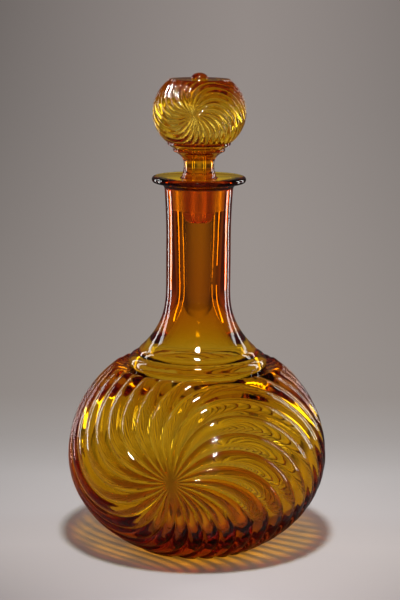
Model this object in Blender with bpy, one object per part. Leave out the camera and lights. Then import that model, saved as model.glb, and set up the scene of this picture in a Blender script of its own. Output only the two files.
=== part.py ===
"""Amber glass decanter: a swirl-ribbed globe bottle with a tall neck, and the ball stopper that lifts out of it.

Metres, +Z up. The origin is the middle of the flat foot that the bottle stands on. The swirls of the ribs
turn round two eyes, at -Y and +Y.
"""

import math

import bmesh
import bpy

# Globe of the bottle
GLOBE_RADIUS = 0.0718
GLOBE_RISE = 0.0665
GLOBE_DROP = 0.0572
GLOBE_MIDDLE = 0.0506
GLOBE_WALL = 0.0047
FLOOR_THICKNESS = 0.0085
PUSH_UP_RADIUS = 0.0230
PUSH_UP_DEPTH = 0.0014

# Swirl ribs, the same on the globe and on the ball of the stopper
RIB_COUNT = 23
RIB_SWIRL = math.radians(105)
RIB_START = math.radians(90) - 19 * math.pi / RIB_COUNT
EYE_SPREAD = math.radians(25)
EYE_ASIDE = math.radians(1.8)
EYE_RAISED = math.radians(1.9)
EYE_FADE_SHARE = 0.22
GLOBE_RIB_DEPTH = 0.0020
BALL_RIB_DEPTH = 0.0009
BALL_TURN = math.radians(3.3)

# Collar where the neck joins the globe
COLLAR_RADIUS = 0.0381
COLLAR_SINK = 0.0074
COLLAR_ROOT = 0.0085
COLLAR_SIDE = 0.0039
COLLAR_ROUNDING = 0.0046
COLLAR_GROOVE = 0.0012
LEDGE_FLAT = 0.0016
LEDGE_SLOPE = math.radians(25)
TIER_STEP = 0.0048
TIER_ROUNDING = 0.0060
TIER_TURN = math.radians(55)

# Neck and lip
NECK_RADIUS = 0.0177
NECK_TOP_RADIUS = 0.0187
NECK_FLARE_LENGTH = 0.0325
NECK_FLARE_POWER = 2.5
NECK_LENGTH = 0.0544
LIP_RADIUS = 0.0257
LIP_THICKNESS = 0.0036
LIP_UNDERSIDE = 0.0034
DISH_DEPTH = 0.0047

# Inside of the bottle
CAVITY_RISE = 0.0545
COLLAR_WALL = 0.0040
SHOULDER_RAISED = 0.0024
SHOULDER_INSET = 0.0054
SHOULDER_RISE = 0.0045
SHOULDER_TURN = math.radians(70)
BORE_RADIUS = 0.0080
TIER_WALL = 0.0071
BORE_FLARE_RAISED = 0.0056
BORE_FLARE_LENGTH = 0.0375
BORE_FLARE_POWER = 4.2
MOUTH_CHAMFER = 0.0015

# Stopper
FIT_GAP = 0.0003
PLUG_LENGTH = 0.0233
PLUG_END_RADIUS = 0.0088
PLUG_END_ROUNDING = 0.0065
PLUG_END_INSET = 0.0040
PLUG_TOP_RADIUS = 0.0095
PLUG_SEATED = 0.0248
BEAD_RADIUS = 0.0104
BEAD_HEIGHT = 0.0010
WAIST_RADIUS = 0.0082
WAIST_HEIGHT = 0.0062
STEM_FLARE_LENGTH = 0.0077
STEM_FLARE_RADIUS = 0.0134
STEM_FLARE_POWER = 3.0
STEM_FOOT_POWER = 2.0
RING_RADIUS = 0.0141
RING_HEIGHT = 0.0018
BOWL_RADIUS = 0.0171
BOWL_HEIGHT = 0.0035
BOWL_LIP = 0.0015
BALL_RADIUS = 0.0254
BALL_RISE = 0.0233
BALL_DROP = 0.0220
BALL_RAISED = 0.0157
BALL_TOP_CUT = 0.0180
BALL_WALL = 0.0025
PLATE_RADIUS = 0.0165
PLATE_DOME = 0.0007
BUTTON_RADIUS = 0.0047
BUTTON_HEIGHT = 0.0034
VENT_RADIUS = 0.0027

# How finely the round shapes are cut, and how far cutters and joined forms run past each other
RIB_FACETS = 4
GLOBE_RINGS = 24
BALL_RINGS = 12
NECK_FACETS = 48
CAVITY_FACETS = 40
STOPPER_FACETS = 32
CURVE_STEPS = 5
OVERRUN = 0.004
WELD = 0.000001

# Amber glass as it looks in a hand, and the heights that follow from the sizes
AMBER = (0.42, 0.19, 0.01, 1.0)
LIGHT_AMBER = (0.52, 0.30, 0.03, 1.0)
GLASS_ROUGHNESS = 0.03
GLASS_IOR = 1.5


def height_on_ellipse(radius, half_width, half_height):
    """Height over the middle of an ellipse at this distance from its axis."""
    return half_height * math.sqrt(1 - (radius / half_width) ** 2)


COLLAR_FOOT = GLOBE_MIDDLE + height_on_ellipse(COLLAR_RADIUS, GLOBE_RADIUS, GLOBE_RISE) - COLLAR_SINK
COLLAR_TOP = COLLAR_FOOT + COLLAR_SIDE + COLLAR_ROUNDING
TIER_RADIUS = COLLAR_RADIUS - TIER_STEP
TIER_FOOT = COLLAR_TOP - COLLAR_GROOVE
FLARE_FOOT = TIER_FOOT + TIER_ROUNDING * math.sin(TIER_TURN)
FLARE_RADIUS = TIER_RADIUS - TIER_ROUNDING * (1 - math.cos(TIER_TURN))
NECK_FOOT = FLARE_FOOT + NECK_FLARE_LENGTH
NECK_TOP = NECK_FOOT + NECK_LENGTH
LIP_EDGE_RADIUS = LIP_RADIUS - LIP_THICKNESS / 2
LIP_TOP = NECK_TOP + LIP_UNDERSIDE + LIP_THICKNESS
DISH_BOTTOM = LIP_TOP - DISH_DEPTH

PLUG_BOTTOM = LIP_TOP - PLUG_SEATED
PLUG_TOP = PLUG_BOTTOM + PLUG_LENGTH
PLUG_CONE_FOOT = PLUG_BOTTOM + PLUG_END_ROUNDING
WAIST = PLUG_TOP + BEAD_HEIGHT + WAIST_HEIGHT
RING_FOOT = WAIST + STEM_FLARE_LENGTH
BOWL_FOOT = RING_FOOT + RING_HEIGHT
BOWL_TOP = BOWL_FOOT + BOWL_HEIGHT
BALL_MIDDLE = BOWL_TOP + BALL_RAISED
BALL_TOP = BALL_MIDDLE + BALL_TOP_CUT
SOCKET_FOOT_SHARE = 0.20


def arc(radius_from_axis, height, width, rise, start, end):
    """Points of an elliptic arc about (radius_from_axis, height), with the angles measured from straight out."""
    points = []
    for step in range(CURVE_STEPS + 1):
        angle = start + (end - start) * step / CURVE_STEPS
        points.append((radius_from_axis + width * math.cos(angle), height + rise * math.sin(angle)))
    return points


def flare(foot_radius, foot, top_radius, top, power):
    """Points of a curve that runs steeply from its foot and settles at its top radius."""
    points = []
    for step in range(CURVE_STEPS + 1):
        share = step / CURVE_STEPS
        radius = top_radius + (foot_radius - top_radius) * (1 - share) ** power
        points.append((radius, foot + (top - foot) * share))
    return points


def neck_outline():
    """Outside of the collar, the neck and the lip, from the axis inside the globe to the axis in the dish."""
    collar_centre = COLLAR_RADIUS - COLLAR_ROUNDING
    lip_middle = LIP_TOP - LIP_THICKNESS / 2
    points = [(0, COLLAR_FOOT - COLLAR_ROOT), (COLLAR_RADIUS, COLLAR_FOOT - COLLAR_ROOT)]
    points += arc(collar_centre, COLLAR_FOOT + COLLAR_SIDE, COLLAR_ROUNDING, COLLAR_ROUNDING, 0, math.pi / 2)
    points += arc(TIER_RADIUS - TIER_ROUNDING, TIER_FOOT, TIER_ROUNDING, TIER_ROUNDING, 0, TIER_TURN)
    points += flare(FLARE_RADIUS, FLARE_FOOT, NECK_RADIUS, NECK_FOOT, NECK_FLARE_POWER)[1:]
    points.append((NECK_RADIUS, (NECK_FOOT + NECK_TOP) / 2))
    points += arc(
        LIP_EDGE_RADIUS, NECK_TOP, LIP_EDGE_RADIUS - NECK_TOP_RADIUS, LIP_UNDERSIDE, math.pi, math.pi / 2
    )
    points += arc(LIP_EDGE_RADIUS, lip_middle, LIP_THICKNESS / 2, LIP_THICKNESS / 2, -math.pi / 2, math.pi / 2)[1:]
    points += [(mouth_radius(), DISH_BOTTOM), (0, DISH_BOTTOM)]
    return points


def plug_radius(height):
    """Radius of the ground cone of the stopper at this height."""
    share = (height - PLUG_CONE_FOOT) / (PLUG_TOP - PLUG_CONE_FOOT)
    return PLUG_END_RADIUS + (PLUG_TOP_RADIUS - PLUG_END_RADIUS) * share


def socket_radius(height):
    return plug_radius(height) + FIT_GAP


def mouth_radius():
    """Radius of the mouth in the dish, past its chamfer."""
    return socket_radius(DISH_BOTTOM - MOUTH_CHAMFER) + MOUTH_CHAMFER + FIT_GAP


def cavity_outline():
    """Inside of the bottle, from the middle of its floor to above the mouth."""
    width = GLOBE_RADIUS - GLOBE_WALL
    neck_radius = COLLAR_RADIUS - COLLAR_WALL
    shoulder_middle = TIER_RADIUS - SHOULDER_INSET
    shoulder_width = neck_radius - shoulder_middle
    shoulder = COLLAR_FOOT + SHOULDER_RAISED
    flare_foot = TIER_FOOT + BORE_FLARE_RAISED
    flare_top = flare_foot + BORE_FLARE_LENGTH
    neck_angle = math.acos(neck_radius / width)
    socket_foot = PLUG_CONE_FOOT + (PLUG_TOP - PLUG_CONE_FOOT) * SOCKET_FOOT_SHARE
    chamfer_foot = DISH_BOTTOM - MOUTH_CHAMFER
    points = arc(0, GLOBE_MIDDLE, width, GLOBE_MIDDLE - FLOOR_THICKNESS, -math.pi / 2, 0)
    points += arc(0, GLOBE_MIDDLE, width, CAVITY_RISE, 0, neck_angle)[1:]
    points += arc(shoulder_middle, shoulder, shoulder_width, SHOULDER_RISE, 0, SHOULDER_TURN)
    points += flare(TIER_RADIUS - TIER_WALL, flare_foot, BORE_RADIUS, flare_top, BORE_FLARE_POWER)
    points += [(max(BORE_RADIUS, socket_radius(socket_foot)), socket_foot)]
    points += [(socket_radius(chamfer_foot), chamfer_foot)]
    points += [(mouth_radius() + OVERRUN, DISH_BOTTOM + OVERRUN), (0, DISH_BOTTOM + OVERRUN)]
    points[0] = (0, points[0][1])
    return points


def ledge_outline():
    """What is cut off the globe so that its ribs end on a sloping ledge round the foot of the collar."""
    flat = COLLAR_RADIUS + LEDGE_FLAT
    rise = (GLOBE_RADIUS - flat) * math.tan(LEDGE_SLOPE)
    top = COLLAR_FOOT + rise + GLOBE_RISE
    return [(0, COLLAR_FOOT), (flat, COLLAR_FOOT), (GLOBE_RADIUS, COLLAR_FOOT + rise), (GLOBE_RADIUS, top), (0, top)]


def push_up_outline():
    """The shallow hollow under the floor."""
    points = [(0, -OVERRUN), (PUSH_UP_RADIUS, -OVERRUN), (PUSH_UP_RADIUS, 0)]
    points += arc(0, 0, PUSH_UP_RADIUS, PUSH_UP_DEPTH, 0, math.pi / 2)[1:-1]
    points.append((0, PUSH_UP_DEPTH))
    return points


def stem_outline():
    """Outside of the plug, the stem, the ring and the bowl under the ball, closed inside the ball."""
    bead_middle = PLUG_TOP + BEAD_HEIGHT / 2
    root = BOWL_TOP + OVERRUN
    points = [(0, PLUG_BOTTOM)]
    points += arc(
        PLUG_END_RADIUS - PLUG_END_INSET, PLUG_CONE_FOOT, PLUG_END_INSET, PLUG_END_ROUNDING, -math.pi / 2, 0
    )
    points.append((PLUG_TOP_RADIUS, PLUG_TOP))
    points += arc(
        PLUG_TOP_RADIUS, bead_middle, BEAD_RADIUS - PLUG_TOP_RADIUS, BEAD_HEIGHT / 2, -math.pi / 4, math.pi / 4
    )
    points += flare(PLUG_TOP_RADIUS, PLUG_TOP + BEAD_HEIGHT, WAIST_RADIUS, WAIST, STEM_FOOT_POWER)
    points += flare(STEM_FLARE_RADIUS, RING_FOOT, WAIST_RADIUS, WAIST, STEM_FLARE_POWER)[-2::-1]
    points += [(RING_RADIUS, RING_FOOT + RING_HEIGHT / 3), (RING_RADIUS, BOWL_FOOT - RING_HEIGHT / 3)]
    points += [(STEM_FLARE_RADIUS, BOWL_FOOT), (BOWL_RADIUS, BOWL_TOP - BOWL_LIP), (BOWL_RADIUS, root), (0, root)]
    return points


def plate_outline():
    """The flat plate on top of the ball, with its button."""
    plate_rim = BALL_TOP - PLATE_DOME
    side = math.acos(BUTTON_RADIUS / (BUTTON_RADIUS + PLATE_DOME))
    points = [(0, BALL_TOP - BALL_WALL / 2), (PLATE_RADIUS, BALL_TOP - BALL_WALL / 2), (PLATE_RADIUS, plate_rim)]
    points.append((PLATE_RADIUS - PLATE_DOME, BALL_TOP))
    points += arc(0, BALL_TOP, BUTTON_RADIUS, BUTTON_HEIGHT, side / CURVE_STEPS, math.pi / 2)
    points[-1] = (0, BALL_TOP + BUTTON_HEIGHT)
    return points


def hollow_outline():
    """Inside of the stopper: a narrow vent up through the plug, and the hollow of the ball."""
    width = BALL_RADIUS - BALL_WALL
    rise = BALL_TOP_CUT - BALL_WALL
    drop = BALL_DROP - BALL_WALL
    neck_angle = math.acos(VENT_RADIUS / width)
    points = [(0, PLUG_BOTTOM - OVERRUN), (VENT_RADIUS, PLUG_BOTTOM - OVERRUN)]
    points += arc(0, BALL_MIDDLE, width, drop, -neck_angle, 0)
    points += arc(0, BALL_MIDDLE, width, rise, 0, math.pi / 2)[1:]
    points[-1] = (0, BALL_MIDDLE + rise)
    return points


def add_object(name, mesh_maker, material=None):
    """Puts what a bmesh holds into the scene as a named object."""
    mesh = bpy.data.meshes.new(name)
    mesh_maker.to_mesh(mesh)
    mesh_maker.free()
    placed = bpy.data.objects.new(name, mesh)
    bpy.context.scene.collection.objects.link(placed)
    if material:
        mesh.materials.append(material)
    return placed


def turned(name, outline, facets):
    """A helper solid: the outline, from the axis to the axis, spun once round it."""
    work = bmesh.new()
    corners = [work.verts.new((radius, 0, height)) for radius, height in outline]
    for lower, upper in zip(corners, corners[1:]):
        work.edges.new((lower, upper))
    bmesh.ops.spin(
        work,
        geom=work.verts[:] + work.edges[:],
        cent=(0, 0, 0),
        axis=(0, 0, 1),
        angle=2 * math.pi,
        steps=facets,
        use_merge=True,
    )
    bmesh.ops.remove_doubles(work, verts=work.verts[:], dist=WELD)
    bmesh.ops.recalc_face_normals(work, faces=work.faces[:])
    helper = add_object(name, work)
    helper.hide_render = True
    helper.display_type = "WIRE"
    return helper


def swirled(away, around, front):
    """Direction, as right and up of the eye and depth from it, of a point of the ribs after their swirl.

    away is its angle from the nearer eye and around its angle on the eye. Near the eye the swirl is shifted a
    little, because the mould's eye isn't quite in the middle.
    """
    turned_by = RIB_START + around + RIB_SWIRL * math.cos(away)
    if not front:
        away = math.pi - away
        turned_by = math.pi - turned_by
    near_eye = math.exp(-((away / EYE_SPREAD) ** 2))
    right = away * math.cos(turned_by) + EYE_ASIDE * near_eye
    up = away * math.sin(turned_by) + EYE_RAISED * near_eye
    bent = math.hypot(right, up)
    width = math.sin(bent) / bent if bent else 1
    direction = (right * width, -math.cos(bent), up * width)
    return direction if front else (-direction[0], -direction[1], direction[2])


def ribbed(name, radius, rise, drop, middle, depth, rings, turn, material):
    """A closed egg of glass with the swirl ribs, whose broad crests meet in sharp valleys."""
    work = bmesh.new()
    bmesh.ops.create_uvsphere(work, u_segments=RIB_COUNT * RIB_FACETS, v_segments=rings, radius=1)
    for corner in work.verts:
        away = math.acos(max(-1, min(1, corner.co.z)))
        around = math.atan2(corner.co.y, corner.co.x)
        across, ahead, up = swirled(away, around, away <= math.pi / 2)
        over_rib = (around * RIB_COUNT / (2 * math.pi)) % 1
        valley = (2 * abs(over_rib - 1 / 2)) ** 2 * (1 - math.exp(-((math.sin(away) / EYE_FADE_SHARE) ** 2)))
        reach = 1 / math.sqrt((across**2 + ahead**2) / radius**2 + (up / (rise if up > 0 else drop)) ** 2)
        reach -= depth * valley
        turned_across = across * math.cos(turn) - ahead * math.sin(turn)
        turned_ahead = across * math.sin(turn) + ahead * math.cos(turn)
        corner.co = (reach * turned_across, reach * turned_ahead, middle + reach * up)
    bmesh.ops.recalc_face_normals(work, faces=work.faces[:])
    bmesh.ops.triangulate(work, faces=work.faces[:], quad_method="SHORT_EDGE")
    return add_object(name, work, material)


def combine(piece, operation, helper):
    """Cuts the helper from the piece, or joins it on."""
    step = piece.modifiers.new(helper.name, "BOOLEAN")
    step.operation = operation
    step.solver = "EXACT"
    step.object = helper


def under_foot():
    """What is cut off the globe so that it stands on a flat foot."""
    span = GLOBE_RADIUS + OVERRUN
    low = GLOBE_MIDDLE - GLOBE_DROP - OVERRUN
    return turned("foot_cutter", [(0, low), (span, low), (span, 0), (0, 0)], NECK_FACETS)


def over_ball():
    """What is cut off the ball so that its plate lies flat."""
    top = BALL_MIDDLE + BALL_RISE + OVERRUN
    seat = BALL_TOP - PLATE_DOME
    outline = [(0, seat), (BALL_RADIUS, seat), (BALL_RADIUS, top), (0, top)]
    return turned("ball_top_cutter", outline, STOPPER_FACETS)


def under_ball():
    """What is cut off the ball where its bowl begins."""
    low = BALL_MIDDLE - BALL_DROP - OVERRUN
    outline = [(0, low), (BALL_RADIUS, low), (BALL_RADIUS, BOWL_TOP), (0, BOWL_TOP)]
    return turned("ball_foot_cutter", outline, STOPPER_FACETS)


def glass(name, colour):
    """Clear coloured glass."""
    material = bpy.data.materials.new(name)
    material.use_nodes = True
    shader = material.node_tree.nodes["Principled BSDF"]
    shader.inputs["Base Color"].default_value = colour
    shader.inputs["Roughness"].default_value = GLASS_ROUGHNESS
    shader.inputs["Metallic"].default_value = 0
    shader.inputs["Transmission Weight"].default_value = 1
    shader.inputs["IOR"].default_value = GLASS_IOR
    material.diffuse_color = colour
    return material


def shade(piece):
    """Smooth faces with the sharp edges kept."""
    piece.data.shade_smooth()
    piece.data.set_sharp_from_angle(angle=math.radians(40))


def make_bottle():
    """The bottle: the ribbed globe, cut for foot and ledge, joined to the neck and then hollowed."""
    bottle = ribbed(
        "bottle",
        GLOBE_RADIUS,
        GLOBE_RISE,
        GLOBE_DROP,
        GLOBE_MIDDLE,
        GLOBE_RIB_DEPTH,
        GLOBE_RINGS,
        0,
        glass("amber_glass", AMBER),
    )
    shade(bottle)
    combine(bottle, "DIFFERENCE", turned("ledge_cutter", ledge_outline(), NECK_FACETS))
    combine(bottle, "UNION", turned("neck_form", neck_outline(), NECK_FACETS))
    combine(bottle, "DIFFERENCE", under_foot())
    combine(bottle, "DIFFERENCE", turned("cavity_cutter", cavity_outline(), CAVITY_FACETS))
    combine(bottle, "DIFFERENCE", turned("push_up_cutter", push_up_outline(), CAVITY_FACETS))


def make_stopper():
    """The stopper: the ribbed ball, cut flat above and below, with its plug, rings and plate, and hollow."""
    stopper = ribbed(
        "stopper",
        BALL_RADIUS,
        BALL_RISE,
        BALL_DROP,
        BALL_MIDDLE,
        BALL_RIB_DEPTH,
        BALL_RINGS,
        BALL_TURN,
        glass("light_amber_glass", LIGHT_AMBER),
    )
    shade(stopper)
    combine(stopper, "DIFFERENCE", over_ball())
    combine(stopper, "DIFFERENCE", under_ball())
    combine(stopper, "UNION", turned("stem_form", stem_outline(), STOPPER_FACETS))
    combine(stopper, "UNION", turned("plate_form", plate_outline(), STOPPER_FACETS))
    combine(stopper, "DIFFERENCE", turned("hollow_cutter", hollow_outline(), CAVITY_FACETS))


def main():
    for left_over in list(bpy.data.objects):
        bpy.data.objects.remove(left_over)
    make_bottle()
    make_stopper()


main()
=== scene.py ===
import math

import bmesh
import bpy
from mathutils import Matrix, Vector, noise


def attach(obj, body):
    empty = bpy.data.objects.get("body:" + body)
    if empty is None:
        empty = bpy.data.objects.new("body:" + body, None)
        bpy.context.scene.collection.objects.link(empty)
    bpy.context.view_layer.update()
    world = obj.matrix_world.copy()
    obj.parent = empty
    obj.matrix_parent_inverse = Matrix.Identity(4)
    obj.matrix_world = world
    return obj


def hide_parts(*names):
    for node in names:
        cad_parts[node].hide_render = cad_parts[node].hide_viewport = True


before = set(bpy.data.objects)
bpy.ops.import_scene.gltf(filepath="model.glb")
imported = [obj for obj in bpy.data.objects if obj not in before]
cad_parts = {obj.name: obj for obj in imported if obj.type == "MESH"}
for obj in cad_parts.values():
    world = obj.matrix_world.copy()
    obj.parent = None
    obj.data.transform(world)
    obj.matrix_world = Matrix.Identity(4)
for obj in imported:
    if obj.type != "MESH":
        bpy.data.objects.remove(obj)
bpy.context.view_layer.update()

bl_info = {
    "name": "Amber Decanter",
    "version": (1, 0, 0),
    "blender": (4, 5, 0),
    "location": "3D View > Sidebar > Decanter",
    "description": "Models a swirl-ribbed amber glass decanter with its ball stopper and a plain stage",
    "category": "Object",
}

QUARTER = math.pi / 2

# Ribs of globe and ball: rings of their grid, crowding of its columns into the valleys, flatness of crests
GLOBE_RIBS = {"rings": 220, "crowding": 2, "flatness": 3.2}
BALL_RIBS = {"rings": 90, "crowding": 1.6, "flatness": 2}

# Columns of the grid in each rib, and how many half ribs the first one stands aside from straight up
RIB_COLUMNS = 10
HALF_RIBS_ASIDE = 19

# How far round an eye its ribs fade out, and how much of the way into a valley its rounded bottom takes
EYE_FADE_SHARE = 0.22
FILLET_SHARE = 0.07

# Mesh attribute that is 1 in the valleys of the ribs and 0 on their crests
VALLEY = "valley"

# Small shapes of the bottle: fall of the gutter and turn of the collar's rounded edge, reach of the rounded
# corner of its cavity, even ring round the push-up, and width of the slow waves
GUTTER_SLOPE = 0.35
COLLAR_EDGE_TURN = 1.5
CORNER_REACH = 0.0045
PUSH_UP_RIM = 0.001
RIPPLE_SPACING = 0.012

# Small shapes of the stopper: chamfer of its bowl, and how far above the bowl the ribs of the ball end
BOWL_EDGE = 0.0004
BALL_FOOT = 0.0002

# Corners of a cut rim that lie nearer together than this are merged
GLOBE_MERGE = 0.0003
BALL_MERGE = 0.0001

# The ground glass ends this far under the mouth and the plug's top, and reaches this far onto the plug's end
MOUTH_EDGE = 0.0005
PLUG_EDGE = 0.0002
PLUG_END_EDGE = 0.001

# Fine waves, seeds and smears in the glass: scales of their noises, and how deep or matt they are
SLOW_WAVES = 55
FINE_WAVES = 240
FINE_WAVES_SHARE = 0.16
WAVE_HEIGHT = 0.0012
SEEDS = 150
SEED_SIZE = 0.05
SEED_DEPTH = 0.03
SMEARS = 42
SMEAR_RANGE = (0.52, 0.78)
SMEAR_ROUGHNESS = 0.07

# Share of the lamp light that comes through: crests, valleys, steep faces, and least and most by chance
CREST_LIGHT = 1.15
VALLEY_LIGHT = 0.35
STEEP_LIGHT = 0.75
CHANCE_SCALE = 70
CHANCE_LIGHT = (0.78, 1.15)

# Room: strength behind the camera against the wall's, and of the wall high up against its foot
ROOM_BEHIND_CAMERA = 0.65
WALL_HIGH_UP = 0.8

# Painted backdrop, by how steeply the camera looks down (a share of the steepest dip): colour with painted
# light and shade, brightest round the decanter, and painted shade at the sides
STEEPEST_DIP = 0.8
PAINTED_BACKDROP_STOPS = (
    (0.03, (0.287, 0.252, 0.237), 0.38),
    (0.10, (0.296, 0.262, 0.246), 0.33),
    (0.19, (0.322, 0.285, 0.266), 0.27),
    (0.30, (0.334, 0.297, 0.276), 0.15),
    (0.33, (0.392, 0.359, 0.343), 0.15),
    (0.358, (0.520, 0.484, 0.474), 0.17),
    (0.41, (0.565, 0.513, 0.505), 0.20),
    (0.45, (0.510, 0.455, 0.450), 0.32),
    (0.80, (0.200, 0.180, 0.170), 0.20),
)

# Floor nearer to the camera than this share of its distance keeps one tone
NEAREST_SHARE = 0.8

# Painted shade at the sides: where it is least, how far it spreads and how dark it gets, its spread behind
# the camera
BRIGHTEST_SIDE = 0.025
SIDE_WIDTH = 0.12
SIDE_POWER = 1.3
SHADE_SEEN = (1.2, 0.6)
SHADE_THROUGH_GLASS = (4, 0.75)
SHADE_BEHIND_CAMERA = 0.7

# The floor reaches this far, in metres
FLOOR_RADIUS = 20


def length(name, description, default):
    """A size in metres that a user can set."""
    return bpy.props.FloatProperty(
        name=name, description=description, default=default, unit="LENGTH", precision=5
    )


def turn(name, description, degrees):
    """An angle that a user can set."""
    angle = math.radians(degrees)
    return bpy.props.FloatProperty(name=name, description=description, default=angle, unit="ROTATION")


def share(name, description, default):
    """A share or a plain number that a user can set."""
    return bpy.props.FloatProperty(name=name, description=description, default=default, precision=4)


def colour(name, description, default):
    """A colour that a user can set."""
    return bpy.props.FloatVectorProperty(
        name=name, description=description, default=default, size=3, subtype="COLOR", min=0, max=1
    )


def strength(name, description, default):
    """A strength in red, green and blue that may be over 1."""
    return bpy.props.FloatVectorProperty(
        name=name, description=description, default=default, size=3, min=0, max=2
    )


class SwirlSizes(bpy.types.PropertyGroup):
    """The swirl of ribs, which the globe and the ball share."""

    ribs: bpy.props.IntProperty(name="Ribs", description="Ribs round each eye", default=23, min=3)
    swirl: turn("Swirl", "How far the ribs turn between an eye and the side", 105)
    eye_spread: turn("Eye spread", "How far round the eye its shift is felt", 25)
    eye_aside: turn("Eye aside", "Shift of the eye to the right of the middle", 1.8)
    eye_raised: turn("Eye raised", "Shift of the eye above the middle", 1.9)
    ball_turn: turn("Ball turn", "How far the stopper stands turned in the neck", 3.3)


class BottleSizes(bpy.types.PropertyGroup):
    """Sizes of the bottle."""

    globe_radius: length("Globe radius", "From the axis to the rib crests", 0.0716)
    globe_rise: length("Globe rise", "From the widest level to the top of its ellipse", 0.0665)
    globe_drop: length("Globe drop", "From the widest level to the bottom of its ellipse", 0.0572)
    globe_middle: length("Globe middle", "Height of the widest level", 0.0506)
    rib_depth: length("Rib depth", "From a crest to a valley", 0.0018)
    wall: length("Wall", "Glass under a rib crest", 0.0047)
    floor: length("Floor", "Glass at the middle of the floor", 0.0052)
    push_up_radius: length("Push-up radius", "Radius of the hollow under the floor", 0.0230)
    push_up_depth: length("Push-up depth", "Depth of the hollow under the floor", 0.0014)
    foot_edge: length("Foot edge", "Rounding of the edge of the foot", 0.0008)
    collar_radius: length("Collar radius", "Radius of the collar's side", 0.0381)
    collar_sink: length("Collar sink", "How far the collar's foot lies under the globe's ellipse", 0.0074)
    collar_side: length("Collar side", "Height of the collar's straight side", 0.0039)
    collar_rounding: length("Collar rounding", "Rounding of the collar's upper edge", 0.0046)
    collar_groove: length("Collar groove", "Depth of the groove above the collar", 0.0012)
    ledge_flat: length("Ledge", "Width of the gutter round the collar", 0.0016)
    ledge_slope: turn("Ledge slope", "Slope on which the ribs end", 25)
    tier_radius: length("Tier radius", "Radius of the tier above the collar", 0.0333)
    tier_rounding: length("Tier rounding", "Rounding of the tier", 0.0060)
    tier_turn: turn("Tier turn", "Angle that the tier's rounding runs through", 55)
    neck_radius: length("Neck radius", "Radius of the neck", 0.0177)
    neck_top_radius: length("Neck top radius", "Radius of the neck under the lip", 0.0187)
    neck_flare_length: length("Neck flare", "Height of the flare from the tier to the neck", 0.0325)
    neck_flare_power: share("Neck flare power", "How steeply the flare begins", 2.5)
    neck_length: length("Neck length", "Height of the neck above its flare", 0.0544)
    lip_radius: length("Lip radius", "Radius of the lip", 0.0257)
    lip_thickness: length("Lip thickness", "Thickness of the lip at its edge", 0.0036)
    lip_underside: length("Lip underside", "Height of the curve under the lip", 0.0034)
    dish_depth: length("Dish depth", "Depth of the dish in the lip", 0.0047)
    cavity_rise: length("Cavity rise", "From the widest level to the top of the cavity's dome", 0.0530)
    cavity_fullness: share("Cavity fullness", "How square the cavity's dome is, 2 for an ellipse", 2.4)
    bowl_fullness: share("Bowl fullness", "How square the cavity's lower half is, 2 for an ellipse", 2.12)
    collar_wall: length("Collar wall", "Glass inside the collar", 0.0040)
    bore_radius: length("Bore radius", "Radius of the bore", 0.0080)
    shoulder_raised: length("Shoulder raised", "Straight part of the cavity inside the collar", 0.0024)
    shoulder_inset: length("Shoulder inset", "From the tier's side to the rounding's middle", 0.0060)
    shoulder_rise: length("Shoulder rise", "Height of the rounding inside the tier", 0.0045)
    shoulder_turn: turn("Shoulder turn", "Angle that the rounding inside the tier runs through", 70)
    tier_wall: length("Tier wall", "From the tier's side to where the cavity narrows", 0.0072)
    bore_flare_raised: length("Bore flare raised", "From the tier's foot to this narrowing", 0.0056)
    bore_flare_length: length("Bore flare", "Height in which the cavity narrows to the bore", 0.0345)
    bore_flare_power: share("Bore flare power", "How steeply the narrowing begins", 2.8)
    mouth_rounding: length("Mouth rounding", "Rounding of the edge of the mouth", 0.0015)
    socket_foot: share("Socket foot", "Where the ground socket ends, as a share of the plug's cone", 0.2)
    ripple: length("Ripple", "Depth of the slow waves that the mould leaves in the glass", 0.00012)


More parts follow.
